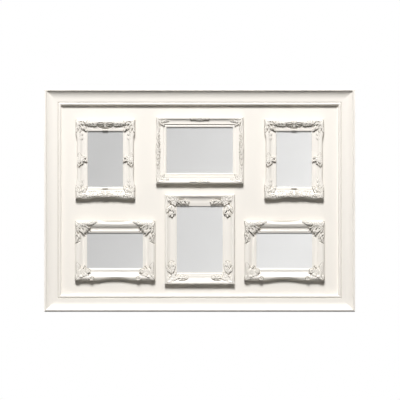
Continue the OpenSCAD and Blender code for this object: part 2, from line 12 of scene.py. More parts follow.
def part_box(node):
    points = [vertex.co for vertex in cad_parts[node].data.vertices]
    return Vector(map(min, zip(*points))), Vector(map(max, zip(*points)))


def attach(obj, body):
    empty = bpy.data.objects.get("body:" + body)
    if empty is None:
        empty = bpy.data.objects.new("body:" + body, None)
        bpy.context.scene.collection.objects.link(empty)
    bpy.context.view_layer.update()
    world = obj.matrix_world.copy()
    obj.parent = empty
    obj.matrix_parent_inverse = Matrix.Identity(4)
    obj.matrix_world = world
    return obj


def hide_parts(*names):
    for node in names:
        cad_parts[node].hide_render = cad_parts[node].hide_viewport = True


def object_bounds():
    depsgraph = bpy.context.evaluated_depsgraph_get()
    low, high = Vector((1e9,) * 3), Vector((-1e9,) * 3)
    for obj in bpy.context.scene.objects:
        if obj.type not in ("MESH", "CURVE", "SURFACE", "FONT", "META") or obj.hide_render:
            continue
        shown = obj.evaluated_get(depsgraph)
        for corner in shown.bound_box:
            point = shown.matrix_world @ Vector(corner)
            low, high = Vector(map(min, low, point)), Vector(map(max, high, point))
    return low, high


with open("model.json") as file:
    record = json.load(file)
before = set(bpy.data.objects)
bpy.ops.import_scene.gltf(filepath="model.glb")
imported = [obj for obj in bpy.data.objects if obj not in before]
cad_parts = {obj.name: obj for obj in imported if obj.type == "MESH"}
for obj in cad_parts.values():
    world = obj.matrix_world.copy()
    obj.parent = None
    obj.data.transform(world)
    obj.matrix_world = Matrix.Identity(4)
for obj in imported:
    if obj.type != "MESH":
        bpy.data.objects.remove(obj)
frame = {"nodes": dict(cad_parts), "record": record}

bl_info = {
    "name": "Collage Picture Frame",
    "version": (1, 0, 0),
    "blender": (4, 5, 0),
    "location": "View3D > Sidebar > Picture Frame",
    "description": "Finishes a collage wall frame with paint, carved cast frames, glass and fixings",
    "category": "Object",
}

CAD_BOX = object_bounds()
MM = 0.001

PLACES = ("upper_left", "lower_left", "upper_centre", "lower_centre", "upper_right", "lower_right")
RAILS = {
    "top_rail": Vector((0, 0, 1)), "bottom_rail": Vector((0, 0, -1)),
    "left_rail": Vector((-1, 0, 0)), "right_rail": Vector((1, 0, 0)),
}

# Section of the outer moulding in millimetres: inwards from its outer side, out from its back, and
# the bulge to the next point. A rounded lip, a scoop, a quirk, a bead, a sight edge and the rebate
RAIL_SECTION = (
    (0, 0, 0), (0, 29.2, 0.41), (5.4, 34.95, 0.3), (6.3, 34.2, 0), (7.1, 32.4, -0.17), (27.5, 25.2, 0),
    (35, 25.2, 0), (35.3, 24.1, 0), (37.2, 24.1, 0.3), (40.4, 25.5, 0.41),
    (44, 22, 0), (44.1, 18.2, 0), (47.5, 18.2, 0), (47.5, 17, 0), (39, 17, 0), (39, 0, 0),
)
# Span of the quirk in millimetres, which gets painted shade for the bead's shadow
QUIRK = (35.2, 37.3)
# Points drawn along each bulged part of a section
BULGE_POINTS = 12
# Two faces that meet at more than this are drawn with a sharp edge between them
MOULDING_CREASE = math.radians(25)
CASTING_CREASE = math.radians(62)

# Sections of the cast frames: share of the member, share of the thickness, bulge to the next point
GARLAND_SECTION = (
    (0, 0.6, 0.35), (0.1, 0.93, 0.12), (0.42, 0.93, -0.22), (0.74, 0.6, 0), (0.755, 0.53, 0),
    (0.775, 0.53, 0), (0.79, 0.57, 0.06), (0.98, 0.52, 0), (1, 0.46, 0),
)
ACANTHUS_SECTION = (
    (0, 0.68, 0.14), (0.2, 0.96, 0.1), (0.28, 0.96, 0.14), (0.57, 0.62, 0), (0.59, 0.56, 0),
    (0.75, 0.46, 0), (0.77, 0.52, 0.5), (0.85, 0.55, 0.1), (1, 0.455, 0),
)
RIBBON_SECTION = (
    (0, 0.62, 0.4), (0.07, 0.96, 0.12), (0.22, 0.96, -0.2), (0.42, 0.68, 0), (0.55, 0.65, 0),
    (0.7, 0.67, 0), (0.715, 0.46, 0), (0.79, 0.46, 0), (0.815, 0.52, 0.1), (0.97, 0.51, 0),
    (1, 0.46, 0),
)
LEAFY_SECTION = (
    (0, 0.62, 0.4), (0.06, 0.97, 0.12), (0.2, 0.97, -0.2), (0.66, 0.55, 0), (0.75, 0.55, 0),
    (0.77, 0.52, 0), (0.89, 0.52, 0), (0.92, 0.47, 0), (1, 0.455, 0),
)

# Shares of the thickness: the level that carvings stand on at the outer side, and its fall to the window
GROUND_LEVEL = 0.95
GROUND_FALL = 0.25
# Shares of the member: the rise that has a full groove round it, the widths over which the carving
# fades out at the window and at the lip, and how far in from the lip the outline's sweep is felt
FULL_RISE = 0.09
WINDOW_FADE = 0.05
LIP_FADE = 0.03
SWEEP_REACH = 0.36
# Rounds of spreading over the grid: for the groove, and for the nearer of the two hollows
GROOVE_ROUNDS = 6
NEAR_ROUNDS = 4
# Depths at which a narrow and a wide hollow are full of painted shade
NARROW_DEPTH = 0.16 * MM
WIDE_DEPTH = 0.5 * MM

# What the record's window boxes and the panes leave free, both sides together
WINDOW_MARGIN = 1.0 * MM
PANE_MARGIN = 1.0 * MM
# Points that lie this near to a line are on it
NEAR_ENOUGH = 0.01 * MM

# Where the floor starts to turn white and where it is white, in metres from the middle of the frame
FLOOR_FADE = (1.2, 2.6)
FLOOR_RADIUS = 9.0
# How white the floor already is under the frame
FLOOR_WHITE = 0.55
# The picture's middle, to the right of the frame's and above it
CAMERA_SHIFT = (0.8 * MM, 0.4 * MM)


def opening_of(place):
    """Width and height of a small frame's window, read from the record's box in front of its pane."""
    boxes = {o["name"]: o["box_m"] for o in frame["record"]["physics"]["openings"]}
    low, high = boxes[f"{place}_window"]
    return high[0] - low[0] + WINDOW_MARGIN, high[2] - low[2] + WINDOW_MARGIN


class Wire:
    """A value on its way through a node tree. Arithmetic on it adds Math nodes."""

    def __init__(self, nodes, socket):
        self.nodes = nodes
        self.socket = socket

    def __add__(self, other):
        return self.nodes.math("ADD", self, other)

    def __sub__(self, other):
        return self.nodes.math("SUBTRACT", self, other)

    def __rsub__(self, other):
        return self.nodes.math("SUBTRACT", other, self)

    def __mul__(self, other):
        return self.nodes.math("MULTIPLY", self, other)

    def over(self, edge):
        """1 where this value is over the edge, else 0."""
        return self.nodes.math("GREATER_THAN", self, edge)

    __radd__ = __add__
    __rmul__ = __mul__


class Nodes:
    """The node tree of a material or a world, built from expressions."""

    def __init__(self, owner):
        owner.use_nodes = True
        self.tree = owner.node_tree
        self.tree.nodes.clear()

    def plug(self, socket, value):
        if isinstance(value, Wire):
            self.tree.links.new(value.socket, socket)
        else:
            socket.default_value = value

    def node(self, kind, settings=None, sockets=None, out=0):
        """Adds a node, sets its settings, then its sockets by name or number, and returns one output."""
        made = self.tree.nodes.new(kind)
        for key, value in (settings or {}).items():
            setattr(made, key, value)
        for key, value in (sockets or {}).items():
            self.plug(made.inputs[key], value)
        return None if out is None else Wire(self, made.outputs[out])

    def math(self, operation, a, b):
        return self.node("ShaderNodeMath", {"operation": operation}, {0: a, 1: b})

    def mix(self, factor, a, b):
        """One colour into another."""
        return self.node(
            "ShaderNodeMix", {"data_type": "RGBA", "blend_type": "MIX"},
            {"Factor": factor, 6: a, 7: b}, out=2,
        )

    def place(self, scale=(1, 1, 1)):
        """Object coordinates in metres, times a scale."""
        spot = self.node("ShaderNodeTexCoord", out="Object")
        return self.node("ShaderNodeVectorMath", {"operation": "MULTIPLY"}, {0: spot, 1: scale})

    def noise(self, scale, detail=3.0, stretch=(1, 1, 1)):
        """Noise from 0 to 1 with so many lumps a metre."""
        return self.node(
            "ShaderNodeTexNoise", {"noise_dimensions": "3D"},
            {"Vector": self.place(stretch), "Scale": scale, "Detail": detail},
        )

    def rise(self, value, low, high, kind="LINEAR"):
        """0 below low, 1 above high and an even rise between."""
        return self.node(
            "ShaderNodeMapRange", {"interpolation_type": kind},
            {"Value": value, "From Min": low, "From Max": high, "To Min": 0.0, "To Max": 1.0},
        )

    def steps(self, value, low, high):
        """0 below low, 1 above high and a smooth rise between."""
        return self.rise(value, low, high, "SMOOTHSTEP")

    def part(self, vector, axis):
        """One of a vector's three numbers."""
        return self.node("ShaderNodeSeparateXYZ", None, {0: vector}, out=axis)

    def seen(self):
        """1 for the rays that see the backdrop: straight, in gloss or through glass."""
        rays = [
            self.node("ShaderNodeLightPath", out=f"Is {kind} Ray")
            for kind in ("Camera", "Glossy", "Transmission")
        ]
        return self.math("MAXIMUM", rays[0], self.math("MAXIMUM", rays[1], rays[2]))


class Shader(Nodes):
    """A material with one Principled BSDF."""

    def __init__(self, name):
        self.material = bpy.data.materials.new(name)
        super().__init__(self.material)
        output = self.tree.nodes.new("ShaderNodeOutputMaterial")
        self.bsdf = self.tree.nodes.new("ShaderNodeBsdfPrincipled")
        self.tree.links.new(self.bsdf.outputs[0], output.inputs[0])

    def bump(self, height, distance, strength=1.0):
        made = self.node(
            "ShaderNodeBump", None, {"Height": height, "Distance": distance, "Strength": strength},
        )
        self.plug(self.bsdf.inputs["Normal"], made)

    def finish(self, **sockets):
        for key, value in sockets.items():
            self.plug(self.bsdf.inputs[key.replace("_", " ")], value)
        return self.material


def rgba(colour):
    return (*colour[:3], 1.0)


def shade(colour, share):
    return (*[c * share for c in colour[:3]], 1.0)


def cream_paint(name, settings, bare, hollows=False):
    """Satin cream paint in front and the bare board behind, with painted shade in the hollows that stands
    in for their shadows.
    """
    shader = Shader(name)
    cloudy = shader.noise(9.0, 2.0)
    speckle = shader.noise(420.0, 4.0)
    colour = shader.mix(cloudy * 0.55, rgba(settings.cream), shade(settings.cream, 0.965))
    if hollows:
        # The hollow attribute holds painted shade, darkening hollows, feet, outer sides and the quirk
        # where shadows fall
        depth = shader.node("ShaderNodeAttribute", {"attribute_name": "hollow"}, out="Fac")
        painted_shade = shader.steps(depth + (speckle - 0.5) * 0.15, 0.2, 0.85)
        colour = shader.mix(painted_shade * settings.painted_shade, colour, rgba(settings.painted_shade_colour))
    behind = shader.part(shader.node("ShaderNodeNewGeometry", out="Normal"), "Y").over(0.7)
    fibres = shader.noise(900.0, 5.0, (1, 1, 0.25))
    wood = shader.mix(fibres, rgba(bare), shade(bare, 0.7))
    colour = shader.mix(behind, colour, wood)
    rough = settings.roughness + (speckle - 0.5) * 0.12 + behind * 0.35
    shader.bump(speckle + cloudy * 2.0, 0.06 * MM, 0.5)
    return shader.finish(Base_Color=colour, Roughness=rough)


def print_card(name, settings):
    """Plain grey card that lightens across and down the collage, as the photograph's windows do."""
    shader = Shader(name)
    spot = shader.place()
    reach = settings.card_reach
    # The lightening downwards is painted light that makes up for the key light falling off down the frame;
    # across, the prints lighten to the right
    along = shader.part(spot, "X") - shader.part(spot, "Z") * settings.card_painted_light_slant
    across = shader.rise(along, -reach, reach)
    grain = shader.noise(2200.0, 2.0)
    colour = shader.mix(across, rgba(settings.card_left), rgba(settings.card_right))
    colour = shader.mix(grain * 0.06, colour, shade(settings.card_left, 0.8))
    shader.bump(grain, 0.01 * MM, 0.3)
    return shader.finish(Base_Color=colour, Roughness=0.7)


def clear_glass(name, settings):
    shader = Shader(name)
    smear = shader.noise(14.0, 3.0)
    return shader.finish(
        Base_Color=rgba(settings.glass_tint), Roughness=0.03 + smear * 0.03, Alpha=settings.glass_alpha,
    )


def hardboard(name, settings):
    """Pressed fibreboard: brown, with short fibres and a soft speckle."""
    shader = Shader(name)
    fibres = shader.noise(700.0, 6.0, (1, 1, 0.3))
    blotch = shader.noise(30.0, 3.0)
    colour = shader.mix(shader.steps(fibres, 0.3, 0.7), rgba(settings.board), shade(settings.board, 0.55))
    colour = shader.mix(blotch * 0.35, colour, shade(settings.board, 1.25))
    shader.bump(fibres, 0.15 * MM, 0.6)
    return shader.finish(Base_Color=colour, Roughness=0.78)


def zinc_steel(name, settings):
    """Bright zinc plate with fine drawn scratches and dulled patches."""
    shader = Shader(name)
    scratches = shader.noise(1600.0, 4.0, (0.15, 1, 1))
    dull = shader.noise(160.0, 3.0)
    colour = shader.mix(dull * 0.5, rgba(settings.steel), shade(settings.steel, 0.8))
    shader.bump(scratches, 0.02 * MM, 0.5)
    return shader.finish(
        Base_Color=colour, Metallic=1.0, Roughness=0.26 + dull * 0.14 + scratches * 0.06,
    )


def black_rubber(name, settings):
    shader = Shader(name)
    grain = shader.noise(1400.0, 3.0)
    shader.bump(grain, 0.05 * MM, 0.6)
    colour = shader.mix(grain * 0.5, rgba(settings.rubber), shade(settings.rubber, 1.7))
    return shader.finish(Base_Color=colour, Roughness=0.72)


def coat(node, material):
    """Gives a CAD node's object one material."""
    mesh = frame["nodes"][node].data
    mesh.materials.clear()
    mesh.materials.append(material)


def section_points(section, scale):
    """Points along a section, given as corners with a place, a height and the bulge to the next."""
    corners = [np.multiply(corner[:2], scale) for corner in section]
    points = []
    for start, end, (_, _, bulge) in zip(corners, corners[1:], section):
        step = end - start
        square = np.array((-step[1], step[0]))
        for t in np.linspace(0, 1, BULGE_POINTS if bulge else 1, endpoint=False):
            points.append(start + t * step + 2 * bulge * t * (1 - t) * square)
    return np.array([*points, corners[-1]])


def section_height(section, share, member, thickness):
    """Height of a cast frame's section at shares of its member, in metres over its back."""
    points = section_points(section, (member, thickness))
    return np.interp(share * member, np.maximum.accumulate(points[:, 0]), points[:, 1])


def dipped(value, depth):
    """1 where the value is 1, and less by the depth where it is 0."""
    return 1 - depth + depth * value


def plump(cross, crisp=2.4):
    """A form's height over its width, from the share left to its edge: crisp sides and a soft top."""
    inside = np.clip(cross, 0, 1)
    return np.clip(crisp * inside, 0, 1) ** 0.5 * dipped(inside, 0.14)


def from_line(p, q, root, tip, bend):
    """The share of the way from root to tip, the same held to 0 to 1, and how far off the bowed line."""
    run = np.subtract(tip, root)
    length = float(np.hypot(*run))
    along, side = run / length, np.array((-run[1], run[0])) / length
    dp, dq = p - root[0], q - root[1]
    t = (dp * along[0] + dq * along[1]) / length
    inside = np.clip(t, 0, 1)
    return t, inside, dp * side[0] + dq * side[1] - bend * 4 * inside * (1 - inside)


# Carving tools. Each gives heights in shares of the member at the points (p, q), zero off the ornament
def leaf(p, q, root, tip, breadth, rise, lobes=3, bend=0.0, notch=0.45):
    """An acanthus leaf: lobed edges, a sunk midrib and veins that run out to the lobes."""
    lean, vein_depth, rib_depth, rib_width = 0.35, 0.4, 0.42, 0.06
    t, inside, w = from_line(p, q, root, tip, bend)
    wide = np.abs(w) / breadth
    swell = np.sin(np.pi * np.clip(0.12 + 0.88 * inside, 0, 1) ** 0.8) ** 0.7
    phase = lobes * np.clip(t - lean * wide, 0, 1)
    scallop = np.sqrt(np.abs(np.sin(np.pi * phase)))
    half = 0.5 * swell * dipped(scallop, notch)
    cross = 1 - (wide / np.maximum(half, 1e-4)) ** 2
    midrib = rib_depth * np.exp(-(w / (rib_width * breadth)) ** 2) * (1 - inside ** 3)
    veins = dipped(scallop, vein_depth)
    lift = dipped(np.sin(np.pi * np.clip(0.15 + 0.75 * inside, 0, 1)), 0.38)
    height = rise * plump(cross) * veins * (lift - midrib)
    return np.where((t > 0) & (t < 1) & (cross > 0), height, 0)


def husk(p, q, root, tip, breadth, rise):
    """A bellflower: one pointed leaf between two smaller ones that open beside it."""
    reach, opening = 0.72, 0.34
    run = np.subtract(tip, root)
    side = np.array((-run[1], run[0])) * opening
    parts = [leaf(p, q, root, tip, breadth, rise, 1, notch=0)]
    for sign in (-1, 1):
        petal = np.add(root, reach * run + sign * side)
        parts.append(leaf(p, q, root, petal, 0.6 * breadth, 0.8 * rise, 1, sign * 0.03, notch=0))
    return np.maximum.reduce(parts)


def scroll(p, q, centre, radius, tube, rise, turns=2, start=0.0, hand=1):
    """A volute: a rounded band that winds in to a button, thinner and lower as it goes."""
    wind, thin, sink, button_share = 0.78, 0.55, 0.25, 0.3
    dp, dq = p - centre[0], q - centre[1]
    rho = np.hypot(dp, dq)
    phi = (np.arctan2(hand * dq, dp) - start) % (2 * np.pi)
    height = np.zeros_like(p)
    for turn in range(turns):
        wound = (phi / (2 * np.pi) + turn) / turns
        arm = radius * (1 - wind * wound)
        thick = tube * (1 - thin * wound)
        cross = 1 - ((rho - arm) / thick) ** 2
        height = np.maximum(height, rise * (1 - sink * wound) * np.sqrt(np.clip(cross, 0, 1)))
    button = 1 - (rho / (button_share * radius)) ** 2
    return np.maximum(height, rise * np.sqrt(np.clip(button, 0, 1)))


def shell(p, q, hinge, aim, radius, petals, spread, rise, dip=0.14):
    """A scallop shell: ribs that fan out from the hinge to a scalloped edge."""
    bowl_depth, rib_depth = 0.55, 0.55
    dp, dq = p - hinge[0], q - hinge[1]
    rho = np.hypot(dp, dq)
    phi = np.arctan2(dq, dp) - aim
    phi = (phi + np.pi) % (2 * np.pi) - np.pi
    ribs = np.abs(np.cos(0.5 * np.pi + np.pi * petals * (phi / spread + 0.5)))
    edge = radius * dipped(np.sqrt(ribs), dip)
    cross = 1 - (rho / edge) ** 4
    bowl = np.sqrt(np.clip(cross, 0, 1)) * dipped(np.clip(rho / radius, 0, 1), bowl_depth)
    height = rise * bowl * dipped(ribs, rib_depth)
    return np.where((np.abs(phi) < spread / 2) & (rho < edge), height, 0)


def rose(p, q, centre, radius, rise):
    """A rose: two rings of overlapping petals round a bud."""
    bud_share, cup = 0.24, 0.3
    # Petals, and their place, size and height as shares of the rose's
    rings = ((5, 0.62, 0.42, 0.66), (5, 0.34, 0.3, 0.86))
    height = np.zeros_like(p)
    for ring, (petals, place, size, lift) in enumerate(rings):
        for k in range(petals):
            angle = 2 * np.pi * (k + 0.5 * ring) / petals
            cp = centre[0] + place * radius * math.cos(angle)
            cq = centre[1] + place * radius * math.sin(angle)
            rho = np.hypot(p - cp, q - cq) / (size * radius)
            petal = lift * rise * plump(1 - rho ** 2) * dipped(np.clip(rho, 0, 1), cup)
            height = np.maximum(height, petal)
    bud = np.hypot(p - centre[0], q - centre[1]) / (bud_share * radius)
    return np.maximum(height, rise * np.sqrt(np.clip(1 - bud ** 2, 0, 1)))


def band(p, q, ends, bend, breadth, rise, waves=0):
    """A rounded ribbon between two ends, bowed by bend, with a scalloped edge if it has waves."""
    t, inside, w = from_line(p, q, *ends, bend)
    half = 0.5 * breadth
    if waves:
        half = half * dipped(np.abs(np.sin(np.pi * waves * inside)), 0.45)
    cross = 1 - (w / half) ** 2
    return np.where((t > 0) & (t < 1), rise * plump(cross, 5), 0)


def cuts(p, q, lines, width=0.042):
    """1 on narrow chisel cuts along the lines, each a row of points, and 0 off them."""
    cut = np.zeros_like(p)
    for line in lines:
        for (p0, q0), (p1, q1) in zip(line, line[1:]):
            dp, dq = p1 - p0, q1 - q0
            t = np.clip(((p - p0) * dp + (q - q0) * dq) / (dp * dp + dq * dq), 0, 1)
            off = np.hypot(p - p0 - t * dp, q - q0 - t * dq)
            cut = np.maximum(cut, np.clip(2 - 2 * off / width, 0, 1))
    return cut


def cut_into(heights, cut, depth=0.07):
    """Heights with the cuts taken out of them, down to so much below the plain surface."""
    return heights * (1 - cut) - depth * cut


def tongue(p, q, centre, size, rise):
    """A small rounded tab."""
    reach = ((p - centre[0]) / size[0]) ** 4 + ((q - centre[1]) / size[1]) ** 4
    return rise * np.sqrt(np.clip(1 - reach, 0, 1))


# Each carving gets the points as shares of the member: a and b run inwards from the nearer side and
# from the nearer end, s and t are measured from the middle, s to the side and t upwards. Its cuts are
# rows of such points, and strength and fullness make the carving plainer in the lower part of a frame
def carve_garland(a, b, s, t):
    """Upper side frames: shells, swags, leafy corners, hanging husks and a rose at each side."""
    middle = np.abs(s)
    shell_cuts = (
        ((0, 0.77), (0.3, 0.74), (0.5, 0.67), (0.64, 0.52), (0.63, 0.36), (0.46, 0.24), (0.2, 0.2)),
        ((0.12, 0.36), (0.32, 0.3)), ((0.16, 0.46), (0.48, 0.44)), ((0.12, 0.56), (0.34, 0.62)),
        (
            (1.49, 0.48), (1.38, 0.61), (1.26, 0.57), (1.15, 0.64), (1.05, 0.59), (0.94, 0.67),
            (0.76, 0.58),
        ),
        ((1.3, 0.4), (1.22, 0.44)), ((1.04, 0.38), (0.96, 0.44)),
    )
    corner_cuts = (
        ((0.66, 0.22), (0.8, 0.4)), ((0.36, 0.26), (0.52, 0.2)), ((0.7, 0.88), (0.79, 1.04)),
        ((0.3, 0.5), (0.42, 0.62)), ((0.5, 0.42), (0.62, 0.56)), ((0.2, 0.8), (0.26, 0.96)),
    )
    rose_cuts = (
        ((0.06, -0.45), (0.2, -0.7), (0.6, -0.44)), ((0.2, -0.3), (0.3, -0.42)),
        ((0.44, -0.26), (0.4, -0.4)), ((0.66, -0.2), (0.9, -0.26)),
    )
    strength = np.where(t > 0, 1, 0.3)
    ends = np.maximum(cuts(middle, b, shell_cuts), cuts(a, b, corner_cuts)) * strength
    cut = np.maximum(ends, cuts(a, t, rose_cuts))
    heights = np.maximum.reduce([
        leaf(a, b, (0.1, 0.1), (0.94, 1.0), 0.56, 0.11, 4),
        leaf(a, b, (0.2, 0.16), (1.08, 0.4), 0.44, 0.1, 3, 0.06),
        leaf(a, b, (0.16, 0.2), (0.38, 1.12), 0.42, 0.09, 3, -0.05),
        leaf(a, b, (0.3, 0.22), (0.04, 1.12), 0.3, 0.08, 3),
        leaf(a, b, (0.5, 0.6), (0.86, 0.86), 0.16, 0.15, 1, 0.04),
        husk(a, b, (0.47, 1.08), (0.47, 1.42), 0.22, 0.03),
        husk(a, b, (0.47, 1.4), (0.47, 1.76), 0.2, 0.025),
        shell(s, b, (0, -0.04), np.pi / 2, 0.74, 7, np.radians(140), 0.13),
        shell(s, b, (0, 0.06), np.pi / 2, 0.42, 5, np.radians(150), 0.17),
        leaf(middle, b, (0.5, 0.3), (0.92, 0.62), 0.3, 0.1, 2, -0.03),
        band(middle, b, ((0.7, 0.32), (1.5, 0.32)), 0.05, 0.5, 0.08, 4),
        leaf(middle, b, (0.84, 0.3), (1.16, 0.52), 0.2, 0.09, 1, 0.02),
        leaf(middle, b, (1.1, 0.3), (1.38, 0.5), 0.2, 0.09, 1, 0.02),
        scroll(middle, b, (0.68, 0.22), 0.13, 0.05, 0.12, 2, 1.0),
        rose(a, t, (0.33, -0.08), 0.38, 0.14),
        leaf(a, t, (0.38, 0.0), (0.3, 0.52), 0.5, 0.09, 3, 0.05),
        leaf(a, t, (0.42, 0.06), (0.2, -0.74), 0.8, 0.12, 5, -0.04),
        leaf(a, t, (0.42, 0.05), (0.97, -0.3), 0.24, 0.13, 2, 0.04),
        leaf(a, t, (0.42, 0.1), (0.9, 0.1), 0.22, 0.11, 2, 0.03),
        tongue(s, b, (0, 0.93), (0.22, 0.07), 0.04),
    ])
    return cut_into(heights, cut)


def carve_acanthus(a, b, s, t):
    """Lower side frames: acanthus fingers fan over the sight edge, with a leaf along each side."""
    fingers = (
        (1.3, 0.62), (1.2, 0.82), (1.05, 0.97), (0.92, 1.08), (0.78, 1.22), (0.6, 1.06), (0.44, 0.9),
    )
    parts = [
        leaf(a, b, (0.2 + 0.3 * p, 0.2 + 0.3 * q), (p, q), 0.19, 0.14, 1, notch=0) for p, q in fingers
    ]
    inner = ((0.96, 0.5), (0.74, 0.72), (0.46, 0.72))
    parts += [leaf(a, b, (0.3, 0.28), tip, 0.22, 0.16, 2) for tip in inner]
    upper = [
        leaf(a, b, (0.2, 0.3), (1.16, 0.24), 0.4, 0.11, 5, 0.03, 0.6),
        leaf(a, b, (0.96, 0.26), (1.5, 0.3), 0.22, 0.13, 2, -0.02),
        leaf(a, b, (1.1, 0.2), (1.84, 0.07), 0.26, 0.12, 3, 0.03),
        leaf(a, b, (0.3, 0.2), (0.2, 1.14), 0.4, 0.11, 5, -0.03, 0.6),
        leaf(a, b, (0.22, 0.94), (0.1, 1.42), 0.24, 0.12, 2, 0.02),
        leaf(a, b, (0.24, 1.08), (0.14, 1.8), 0.24, 0.12, 3, -0.03),
        leaf(a, b, (0.34, 1.06), (0.46, 1.5), 0.16, 0.11, 1, 0.02),
    ]
    lower = [
        leaf(a, b, (0.3, 0.3), (1.62, 0.2), 0.44, 0.05, 6, 0.03, 0.3),
        leaf(a, b, (0.42, 0.16), (0.16, 1.5), 0.5, 0.06, 8, -0.05, 0.3),
        scroll(a, b, (1.38, 0.13), 0.14, 0.05, 0.1, 2, 2.2),
        scroll(a, b, (1.07, 0.78), 0.15, 0.06, 0.17, 2, 2.2),
    ]
    upper_cuts = (
        ((0.36, 0.84), (0.48, 0.96)), ((0.52, 0.96), (0.64, 1.08)), ((0.7, 1.16), (0.84, 1.3)),
        ((0.84, 1.02), (0.98, 1.16)), ((0.98, 0.9), (1.12, 1.04)), ((1.12, 0.76), (1.28, 0.9)),
        ((0.95, 0.36), (1.12, 0.48), (1.32, 0.56)), ((0.6, 0.6), (0.72, 0.72)),
        ((0.36, 0.62), (0.46, 0.7)), ((0.78, 0.42), (0.92, 0.56)), ((0.2, 0.9), (0.24, 1.02)),
        ((0.14, 1.2), (0.24, 1.3)), ((0.06, 1.86), (0.22, 1.8), (0.42, 1.68)),
    )
    lower_cuts = (
        ((1.0, 0.6), (1.22, 0.58)), ((0.66, 0.96), (0.86, 1.14)), ((0.38, 1.0), (0.44, 1.02)),
        ((0.42, 1.15), (0.48, 1.16)), ((1.26, 0.18), (1.34, 0.28), (1.48, 0.28), (1.56, 0.18)),
    )
    parts.append(np.where(t > 0, np.maximum.reduce(upper), np.maximum.reduce(lower)))
    parts.append(leaf(a, b, (0.08, 0.08), (0.7, 0.7), 0.5, 0.13, 3))
    cut = np.where(t > 0, cuts(a, b, upper_cuts), cuts(a, b, lower_cuts))
    return cut_into(np.maximum.reduce(parts), cut)


def sprays(p, q, starts, reach, breadth, rise):
    """Small leaves in a row, each from its start outwards by reach."""
    return np.maximum.reduce([
        leaf(p, q, (p0, q0), (p0 + reach[0], q0 + reach[1]), breadth, rise, 1, 0.02, 0.2)
        for p0, q0 in starts
    ])


def carve_ribbon(a, b, s, t):
    """Upper centre frame: a low leaf in each corner and a small spray at the middle of each side."""
    middle, up = np.abs(s), t + 0.1
    height = np.abs(up)
    corner_cuts = (
        ((0.5, 0.36), (0.72, 0.3), (1.1, 0.36)), ((0.28, 0.6), (0.36, 0.94)), ((0.5, 0.5), (0.62, 0.66)),
    )
    middle_cuts = (((0.08, 0.36), (0.3, 0.28)), ((0.4, 0.38), (0.58, 0.3)), ((0.7, 0.38), (0.88, 0.34)))
    side_cuts = (
        ((0.3, 0.06), (0.42, 0.16)), ((0.2, 0.3), (0.38, 0.4)), ((0.3, 0.56), (0.42, 0.62)),
        ((0.2, 0.8), (0.34, 0.92)), ((0.28, 1.12), (0.4, 1.2)), ((0.2, 1.4), (0.34, 1.5)),
    )
    sprigs = ((0.18, 0.3), (0.46, 0.22), (0.74, 0.3), (1.04, 0.22), (1.36, 0.28))
    cut = np.maximum.reduce([
        cuts(a, b, corner_cuts), cuts(middle, b, middle_cuts), cuts(a, height, side_cuts),
    ])
    heights = np.maximum.reduce([
        leaf(a, b, (0.12, 0.2), (1.24, 0.4), 0.4, 0.05, 4, 0.05),
        leaf(a, b, (0.16, 0.12), (0.26, 1.5), 0.34, 0.05, 4, -0.05),
        leaf(a, b, (0.14, 0.14), (0.8, 0.82), 0.4, 0.08, 3),
        leaf(a, b, (0.4, 0.6), (0.84, 0.86), 0.14, 0.09, 2, 0.03, 0.2),
        shell(s, b, (0, 0.06), np.pi / 2, 0.38, 5, np.radians(150), 0.12),
        sprays(middle, b, ((0.16, 0.3), (0.38, 0.26), (0.6, 0.28)), (0.34, -0.12), 0.18, 0.11),
        shell(up, a, (0, 0.04), np.pi / 2, 0.36, 5, np.radians(150), 0.1),
        sprays(height, a, sprigs, (0.32, -0.1), 0.2, 0.1),
        scroll(height, a, (0.6, 0.24), 0.1, 0.04, 0.1, 2, 1.0),
    ])
    strength = np.where(t > -1, 0.45, 0.2)
    return cut_into(heights, cut * strength)


def carve_leafy(a, b, s, t):
    """Lower centre frame: a knot of lobed leaves in each corner, fuller in the upper ones."""
    upper = [
        leaf(a, b, (0.7, 0.6), (1.44, 0.6), 0.46, 0.08, 4, 0.02, 0.5),
        leaf(a, b, (1.3, 0.6), (2.08, 0.64), 0.42, 0.07, 4, 0.02, 0.5),
        sprays(a, b, ((0.96, 0.58), (1.26, 0.6), (1.56, 0.6), (1.8, 0.62)), (0.18, 0.28), 0.18, 0.1),
        leaf(a, b, (0.2, 0.26), (1.2, 0.36), 0.3, 0.06, 4, 0.02),
    ]
    lower = [
        leaf(a, b, (1.2, 0.62), (1.86, 0.56), 0.36, 0.07, 3, 0.03, 0.5),
        leaf(a, b, (1.14, 0.42), (1.74, 0.35), 0.16, 0.07, 2, 0.02),
        scroll(a, b, (1.8, 0.6), 0.13, 0.05, 0.08, 2, 2.2),
        leaf(a, b, (0.3, 0.4), (1.2, 0.6), 0.5, 0.04, 5, 0.02, 0.4),
    ]
    side = [
        leaf(a, b, (0.54, 0.9), (0.6, 1.96), 0.5, 0.12, 4, -0.03, 0.35),
        leaf(a, b, (0.5, 1.0), (0.13, 1.6), 0.28, 0.11, 2, 0.04),
        leaf(a, b, (0.6, 1.1), (0.88, 1.72), 0.24, 0.13, 2, -0.03),
        leaf(a, b, (0.5, 1.36), (0.36, 1.92), 0.2, 0.12, 1, 0.02),
        leaf(a, b, (0.2, 0.2), (0.95, 0.97), 0.5, 0.1, 4),
    ]
    knot_cuts = (
        ((1.17, 0.5), (1.36, 0.44), (1.58, 0.4)), ((1.0, 0.66), (1.14, 0.8)),
        ((1.3, 0.66), (1.42, 0.8)), ((1.62, 0.62), (1.76, 0.76)),
        ((0.36, 1.86), (0.56, 1.96), (0.78, 1.9)), ((0.42, 1.3), (0.54, 1.42)),
        ((0.66, 1.42), (0.76, 1.56)), ((0.4, 0.56), (0.54, 0.7)),
    )
    ends = np.where(t > 0, np.maximum.reduce(upper), np.maximum.reduce(lower))
    fullness = np.where(t > 0, 1, 0.6)
    strength = np.where(t > 0, 1, 0.4)
    heights = np.maximum(ends, np.maximum.reduce(side) * fullness)
    return cut_into(heights, cuts(a, b, knot_cuts) * strength)


